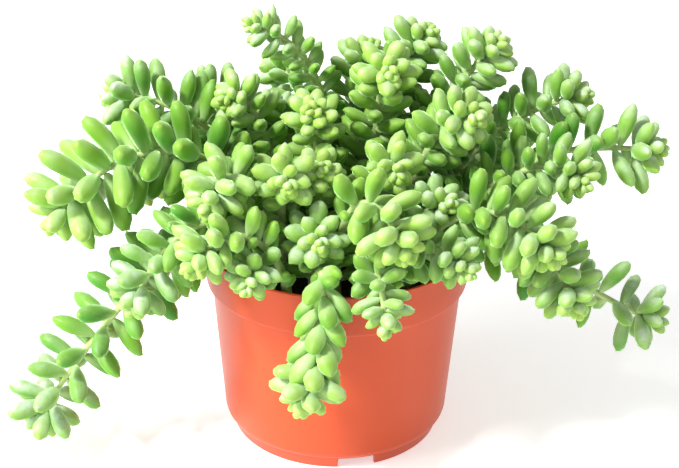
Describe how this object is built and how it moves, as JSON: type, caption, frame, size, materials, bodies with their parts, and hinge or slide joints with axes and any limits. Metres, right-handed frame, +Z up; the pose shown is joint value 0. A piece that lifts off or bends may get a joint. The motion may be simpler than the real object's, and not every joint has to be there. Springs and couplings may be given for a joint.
{
  "type": "potted burro's tail plant",
  "caption": "Trailing succulent in a tapered plastic nursery pot: arching and hanging stems packed with plump spindle leaves that end in rosettes.",
  "frame": {"origin": "on the ground under the pot, on the pot's own axis, which is also the middle of the plant's reach", "axes": "+Z up; +X along the plant's widest reach, to the right as it is viewed; -Y towards the viewer"},
  "size_m": [0.3133, 0.1996, 0.2033],
  "materials": {
    "pot_plastic": "semi-gloss moulded plastic, orange coral",
    "potting_soil": "rough, crumbly and dark",
    "succulent_leaf": "smooth and waxy with a pale bloom"
  },
  "bodies": {
    "root": {"pot": "pot_plastic", "soil": "potting_soil", "stem_left_long": "succulent_leaf", "stem_left_upper": "succulent_leaf", "stem_left_facing": "succulent_leaf", "stem_top_curled": "succulent_leaf", "stem_middle_upper": "succulent_leaf", "stem_middle_lower": "succulent_leaf", "stem_top_facing": "succulent_leaf", "stem_right_facing": "succulent_leaf", "stem_front_facing": "succulent_leaf", "stem_front_left": "succulent_leaf", "stem_left_rolled": "succulent_leaf", "stem_front_right": "succulent_leaf", "stem_front_hanging": "succulent_leaf", "stem_front_short": "succulent_leaf", "stem_left_trailing": "succulent_leaf", "stem_left_lower": "succulent_leaf", "stem_right_wide": "succulent_leaf", "stem_right_low": "succulent_leaf", "stem_right_trailing": "succulent_leaf", "stem_right_far": "succulent_leaf", "stem_right_mid_facing": "succulent_leaf", "stem_upper_facing": "succulent_leaf", "stem_top_right": "succulent_leaf", "stem_right_upper": "succulent_leaf", "stem_top_back_right": "succulent_leaf", "stem_top_back": "succulent_leaf", "stem_top_left": "succulent_leaf", "stem_back_right": "succulent_leaf", "stem_back_hanging": "succulent_leaf", "stem_back_left": "succulent_leaf", "stem_back_left_low": "succulent_leaf", "stem_back_right_low": "succulent_leaf", "stem_back_upper": "succulent_leaf", "stem_back_middle": "succulent_leaf", "stem_inner_left": "succulent_leaf", "stem_inner_front": "succulent_leaf", "stem_inner_right": "succulent_leaf", "stem_inner_low_right": "succulent_leaf", "stem_inner_low_left": "succulent_leaf", "stem_inner_back": "succulent_leaf"}
  },
  "joints": []
}
